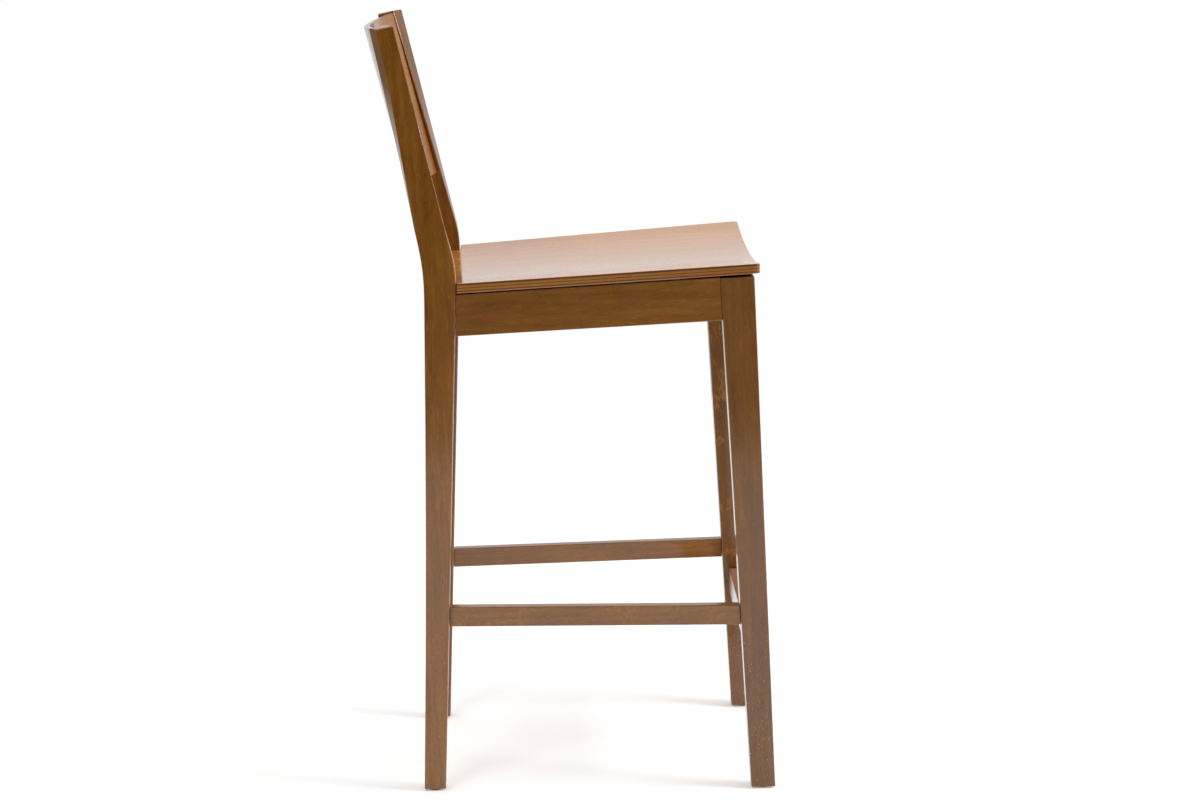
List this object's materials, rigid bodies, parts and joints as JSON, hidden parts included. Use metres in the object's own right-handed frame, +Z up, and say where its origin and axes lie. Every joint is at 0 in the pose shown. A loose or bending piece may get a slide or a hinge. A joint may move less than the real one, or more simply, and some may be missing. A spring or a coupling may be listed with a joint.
{
  "type": "bar stool with footrest",
  "caption": "Tall wooden bar stool: raked posts with a curved low back, dished sloping seat, rails beneath it, side stretchers and a lower front footrest.",
  "frame": {"origin": "on the floor under the middle of the stool's box", "axes": "+Z up, -Y to the front where the sitter's legs hang, X across the width; a person in the seat has +X at the left hand"},
  "size_m": [0.4462, 0.5885, 1.14],
  "materials": {
    "stained_beech": "golden brown stain under clear gloss lacquer",
    "stained_plywood": "orange brown stain under clear gloss lacquer, layers showing at the edges",
    "raw_beech": "sawn beech, thin stain",
    "beech_dowel": "fluted, unfinished",
    "zinc_steel": "zinc plated",
    "black_plastic": "moulded, satin"
  },
  "bodies": {
    "root": {"back_panel": "stained_plywood", "block_screw_front_cross_left": "zinc_steel", "block_screw_front_cross_right": "zinc_steel", "block_screw_front_side_left": "zinc_steel", "block_screw_front_side_right": "zinc_steel", "block_screw_rear_cross_left": "zinc_steel", "block_screw_rear_cross_right": "zinc_steel", "block_screw_rear_side_left": "zinc_steel", "block_screw_rear_side_right": "zinc_steel", "corner_block_front_left": "raw_beech", "corner_block_front_right": "raw_beech", "corner_block_rear_left": "raw_beech", "corner_block_rear_right": "raw_beech", "dowel_front_rail_high_left": "beech_dowel", "dowel_front_rail_high_right": "beech_dowel", "dowel_front_rail_low_left": "beech_dowel", "dowel_front_rail_low_right": "beech_dowel", "dowel_rear_rail_high_left": "beech_dowel", "dowel_rear_rail_high_right": "beech_dowel", "dowel_rear_rail_low_left": "beech_dowel", "dowel_rear_rail_low_right": "beech_dowel", "dowel_side_rail_front_high_left": "beech_dowel", "dowel_side_rail_front_high_right": "beech_dowel", "dowel_side_rail_front_low_left": "beech_dowel", "dowel_side_rail_front_low_right": "beech_dowel", "dowel_side_rail_rear_high_left": "beech_dowel", "dowel_side_rail_rear_high_right": "beech_dowel", "dowel_side_rail_rear_low_left": "beech_dowel", "dowel_side_rail_rear_low_right": "beech_dowel", "footrest": "stained_beech", "front_leg_left": "stained_beech", "front_leg_right": "stained_beech", "front_rail": "stained_beech", "glide_front_left": "black_plastic", "glide_front_right": "black_plastic", "glide_rear_left": "black_plastic", "glide_rear_right": "black_plastic", "rear_leg_left": "stained_beech", "rear_leg_right": "stained_beech", "rear_rail": "stained_beech", "rear_stretcher": "stained_beech", "seat": "stained_plywood", "seat_screw_front_left": "zinc_steel", "seat_screw_front_right": "zinc_steel", "seat_screw_rear_left": "zinc_steel", "seat_screw_rear_right": "zinc_steel", "side_rail_left": "stained_beech", "side_rail_right": "stained_beech", "side_stretcher_left": "stained_beech", "side_stretcher_right": "stained_beech"}
  },
  "joints": []
}
